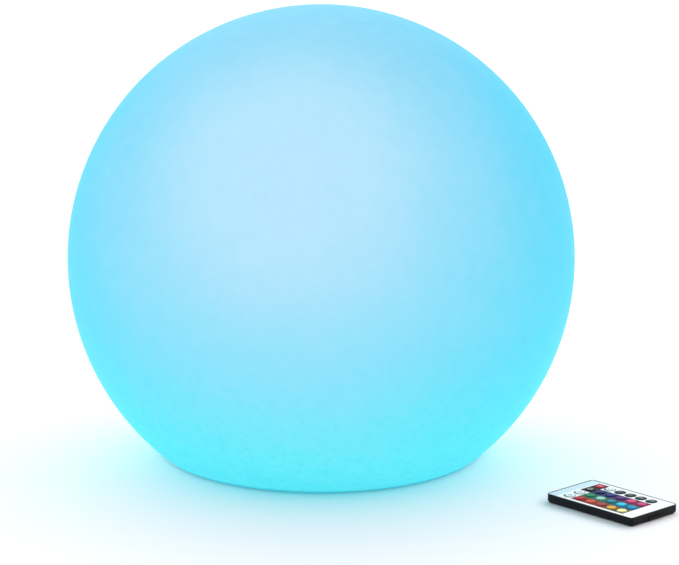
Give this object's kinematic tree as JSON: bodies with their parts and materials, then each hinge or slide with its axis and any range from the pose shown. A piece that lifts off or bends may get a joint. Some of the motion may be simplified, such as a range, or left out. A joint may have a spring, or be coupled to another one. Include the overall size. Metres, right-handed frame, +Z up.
{
  "type": "floating pool light",
  "caption": "Glowing flat-footed pool globe with a recessed, gasketed light unit, power button, covered charging socket, tether bail and a thin keyed hand remote.",
  "frame": {"origin": "centre of the globe's flat standing face", "axes": "+Z up through the globe's crown, -Y to the front, +X to the right, towards the hand remote"},
  "size_m": [0.465, 0.4109, 0.3553],
  "materials": {
    "globe_polyethylene": "translucent satin polyethylene, lit from inside",
    "base_plastic": "fine-grained white plastic",
    "silicone_grey": "soft matt silicone",
    "button_silicone": "soft matt silicone",
    "stainless_screws": "bright stainless",
    "stainless_tether": "brushed stainless",
    "lens_frosted": "frosted clear plastic",
    "collar_plastic": "black moulded plastic",
    "heat_metal": "turned aluminium",
    "board_white": "white solder resist",
    "light_chip": "phosphor window in a white case",
    "receiver_black": "dark infrared-clear plastic",
    "cell_wrap": "shrink sleeve",
    "strap_fabric": "woven strap",
    "board_green": "green solder resist",
    "parts_dark": "moulded chip and coil cases",
    "lead_red": "red insulation",
    "lead_black": "black insulation",
    "socket_black": "black socket body",
    "nut_metal": "nickel plate",
    "flap_plastic": "pale grey plastic",
    "remote_black": "satin black plastic",
    "remote_print": "printed white film",
    "snap_metal": "thin spring metal",
    "sender_clear": "clear lamp resin",
    "coin_steel": "bright steel",
    "key_white": "smooth moulded key",
    "key_black": "smooth moulded key",
    "key_pink_red": "smooth moulded key",
    "key_red": "smooth moulded key",
    "key_orange_red": "smooth moulded key",
    "key_brick": "smooth moulded key",
    "key_amber": "smooth moulded key",
    "key_yellow": "smooth moulded key",
    "key_green": "smooth moulded key",
    "key_mint": "smooth moulded key",
    "key_teal": "smooth moulded key",
    "key_sky": "smooth moulded key",
    "key_lagoon": "smooth moulded key",
    "key_navy": "smooth moulded key",
    "key_indigo": "smooth moulded key",
    "key_purple": "smooth moulded key",
    "key_rose": "smooth moulded key",
    "key_magenta": "smooth moulded key",
    "key_charcoal": "smooth moulded key"
  },
  "bodies": {
    "globe": {"globe_shell": "globe_polyethylene", "base_cover": "base_plastic", "base_gasket": "silicone_grey", "lens_gasket": "silicone_grey", "cover_screws": "stainless_screws", "board_screws": "stainless_screws", "bracket_screws": "stainless_screws", "tether_bracket": "stainless_tether", "lens_dome": "lens_frosted", "lens_collar": "collar_plastic", "battery_cradle": "collar_plastic", "heat_plate": "heat_metal", "light_board": "board_white", "light_chips": "light_chip", "remote_receiver": "receiver_black", "battery_cells": "cell_wrap", "battery_strap": "strap_fabric", "control_board": "board_green", "control_parts": "parts_dark", "power_switch": "parts_dark", "plus_leads": "lead_red", "minus_leads": "lead_black", "charge_socket": "socket_black", "socket_nut": "nut_metal"},
    "power_button": {"power_button": "button_silicone"},
    "socket_cover": {"socket_cover": "flap_plastic", "cover_seal": "silicone_grey"},
    "tether_bail": {"tether_bail": "stainless_tether"},
    "remote": {"remote_case": "remote_black", "remote_faceplate": "remote_print", "remote_board": "board_green", "remote_snap_domes": "snap_metal", "remote_sender": "sender_clear", "remote_contacts": "snap_metal"},
    "remote_battery_tray": {"remote_battery_tray": "remote_black", "remote_coin_cell": "coin_steel"},
    "remote_key_r1c1": {"remote_key_r1c1": "key_white"},
    "remote_key_r1c2": {"remote_key_r1c2": "key_white"},
    "remote_key_r1c3": {"remote_key_r1c3": "key_black"},
    "remote_key_r1c4": {"remote_key_r1c4": "key_pink_red"},
    "remote_key_r2c1": {"remote_key_r2c1": "key_red"},
    "remote_key_r2c2": {"remote_key_r2c2": "key_green"},
    "remote_key_r2c3": {"remote_key_r2c3": "key_navy"},
    "remote_key_r2c4": {"remote_key_r2c4": "key_white"},
    "remote_key_r3c1": {"remote_key_r3c1": "key_orange_red"},
    "remote_key_r3c2": {"remote_key_r3c2": "key_mint"},
    "remote_key_r3c3": {"remote_key_r3c3": "key_indigo"},
    "remote_key_r3c4": {"remote_key_r3c4": "key_charcoal"},
    "remote_key_r4c1": {"remote_key_r4c1": "key_brick"},
    "remote_key_r4c2": {"remote_key_r4c2": "key_teal"},
    "remote_key_r4c3": {"remote_key_r4c3": "key_purple"},
    "remote_key_r4c4": {"remote_key_r4c4": "key_charcoal"},
    "remote_key_r5c1": {"remote_key_r5c1": "key_amber"},
    "remote_key_r5c2": {"remote_key_r5c2": "key_sky"},
    "remote_key_r5c3": {"remote_key_r5c3": "key_rose"},
    "remote_key_r5c4": {"remote_key_r5c4": "key_charcoal"},
    "remote_key_r6c1": {"remote_key_r6c1": "key_yellow"},
    "remote_key_r6c2": {"remote_key_r6c2": "key_lagoon"},
    "remote_key_r6c3": {"remote_key_r6c3": "key_magenta"},
    "remote_key_r6c4": {"remote_key_r6c4": "key_charcoal"}
  },
  "joints": [
    {"name": "power_button_press", "type": "slide", "parent": "globe", "child": "power_button", "axis": [0, 0, 1], "range_m": [0, 0.0012], "stiffness_N_per_m": 600, "springref_m": -0.002},
    {"name": "socket_cover_hinge", "type": "hinge", "parent": "globe", "child": "socket_cover", "pos_m": [0.015, -0.046, 0.0123], "axis": [-1, 0, 0], "range_deg": [0, 110]},
    {"name": "tether_bail_hinge", "type": "hinge", "parent": "globe", "child": "tether_bail", "pos_m": [0, 0.008, 0.0114], "axis": [-1, 0, 0], "range_deg": [0, 120]},
    {"name": "remote_lift", "type": "slide", "parent": "globe", "child": "remote", "axis": [0, 0, 1], "range_m": [0, 0.15]},
    {"name": "battery_tray_slide", "type": "slide", "parent": "remote", "child": "remote_battery_tray", "axis": [0.682, -0.7314, 0], "range_m": [0, 0.03]},
    {"name": "key_press_r1c1", "type": "slide", "parent": "remote", "child": "remote_key_r1c1", "axis": [0, 0, -1], "range_m": [0, 0.00035], "stiffness_N_per_m": 1500, "springref_m": -0.0003},
    {"name": "key_press_r1c2", "type": "slide", "parent": "remote", "child": "remote_key_r1c2", "axis": [0, 0, -1], "range_m": [0, 0.00035], "stiffness_N_per_m": 1500, "springref_m": -0.0003},
    {"name": "key_press_r1c3", "type": "slide", "parent": "remote", "child": "remote_key_r1c3", "axis": [0, 0, -1], "range_m": [0, 0.00035], "stiffness_N_per_m": 1500, "springref_m": -0.0003},
    {"name": "key_press_r1c4", "type": "slide", "parent": "remote", "child": "remote_key_r1c4", "axis": [0, 0, -1], "range_m": [0, 0.00035], "stiffness_N_per_m": 1500, "springref_m": -0.0003},
    {"name": "key_press_r2c1", "type": "slide", "parent": "remote", "child": "remote_key_r2c1", "axis": [0, 0, -1], "range_m": [0, 0.00035], "stiffness_N_per_m": 1500, "springref_m": -0.0003},
    {"name": "key_press_r2c2", "type": "slide", "parent": "remote", "child": "remote_key_r2c2", "axis": [0, 0, -1], "range_m": [0, 0.00035], "stiffness_N_per_m": 1500, "springref_m": -0.0003},
    {"name": "key_press_r2c3", "type": "slide", "parent": "remote", "child": "remote_key_r2c3", "axis": [0, 0, -1], "range_m": [0, 0.00035], "stiffness_N_per_m": 1500, "springref_m": -0.0003},
    {"name": "key_press_r2c4", "type": "slide", "parent": "remote", "child": "remote_key_r2c4", "axis": [0, 0, -1], "range_m": [0, 0.00035], "stiffness_N_per_m": 1500, "springref_m": -0.0003},
    {"name": "key_press_r3c1", "type": "slide", "parent": "remote", "child": "remote_key_r3c1", "axis": [0, 0, -1], "range_m": [0, 0.00035], "stiffness_N_per_m": 1500, "springref_m": -0.0003},
    {"name": "key_press_r3c2", "type": "slide", "parent": "remote", "child": "remote_key_r3c2", "axis": [0, 0, -1], "range_m": [0, 0.00035], "stiffness_N_per_m": 1500, "springref_m": -0.0003},
    {"name": "key_press_r3c3", "type": "slide", "parent": "remote", "child": "remote_key_r3c3", "axis": [0, 0, -1], "range_m": [0, 0.00035], "stiffness_N_per_m": 1500, "springref_m": -0.0003},
    {"name": "key_press_r3c4", "type": "slide", "parent": "remote", "child": "remote_key_r3c4", "axis": [0, 0, -1], "range_m": [0, 0.00035], "stiffness_N_per_m": 1500, "springref_m": -0.0003},
    {"name": "key_press_r4c1", "type": "slide", "parent": "remote", "child": "remote_key_r4c1", "axis": [0, 0, -1], "range_m": [0, 0.00035], "stiffness_N_per_m": 1500, "springref_m": -0.0003},
    {"name": "key_press_r4c2", "type": "slide", "parent": "remote", "child": "remote_key_r4c2", "axis": [0, 0, -1], "range_m": [0, 0.00035], "stiffness_N_per_m": 1500, "springref_m": -0.0003},
    {"name": "key_press_r4c3", "type": "slide", "parent": "remote", "child": "remote_key_r4c3", "axis": [0, 0, -1], "range_m": [0, 0.00035], "stiffness_N_per_m": 1500, "springref_m": -0.0003},
    {"name": "key_press_r4c4", "type": "slide", "parent": "remote", "child": "remote_key_r4c4", "axis": [0, 0, -1], "range_m": [0, 0.00035], "stiffness_N_per_m": 1500, "springref_m": -0.0003},
    {"name": "key_press_r5c1", "type": "slide", "parent": "remote", "child": "remote_key_r5c1", "axis": [0, 0, -1], "range_m": [0, 0.00035], "stiffness_N_per_m": 1500, "springref_m": -0.0003},
    {"name": "key_press_r5c2", "type": "slide", "parent": "remote", "child": "remote_key_r5c2", "axis": [0, 0, -1], "range_m": [0, 0.00035], "stiffness_N_per_m": 1500, "springref_m": -0.0003},
    {"name": "key_press_r5c3", "type": "slide", "parent": "remote", "child": "remote_key_r5c3", "axis": [0, 0, -1], "range_m": [0, 0.00035], "stiffness_N_per_m": 1500, "springref_m": -0.0003},
    {"name": "key_press_r5c4", "type": "slide", "parent": "remote", "child": "remote_key_r5c4", "axis": [0, 0, -1], "range_m": [0, 0.00035], "stiffness_N_per_m": 1500, "springref_m": -0.0003},
    {"name": "key_press_r6c1", "type": "slide", "parent": "remote", "child": "remote_key_r6c1", "axis": [0, 0, -1], "range_m": [0, 0.00035], "stiffness_N_per_m": 1500, "springref_m": -0.0003},
    {"name": "key_press_r6c2", "type": "slide", "parent": "remote", "child": "remote_key_r6c2", "axis": [0, 0, -1], "range_m": [0, 0.00035], "stiffness_N_per_m": 1500, "springref_m": -0.0003},
    {"name": "key_press_r6c3", "type": "slide", "parent": "remote", "child": "remote_key_r6c3", "axis": [0, 0, -1], "range_m": [0, 0.00035], "stiffness_N_per_m": 1500, "springref_m": -0.0003},
    {"name": "key_press_r6c4", "type": "slide", "parent": "remote", "child": "remote_key_r6c4", "axis": [0, 0, -1], "range_m": [0, 0.00035], "stiffness_N_per_m": 1500, "springref_m": -0.0003}
  ]
}
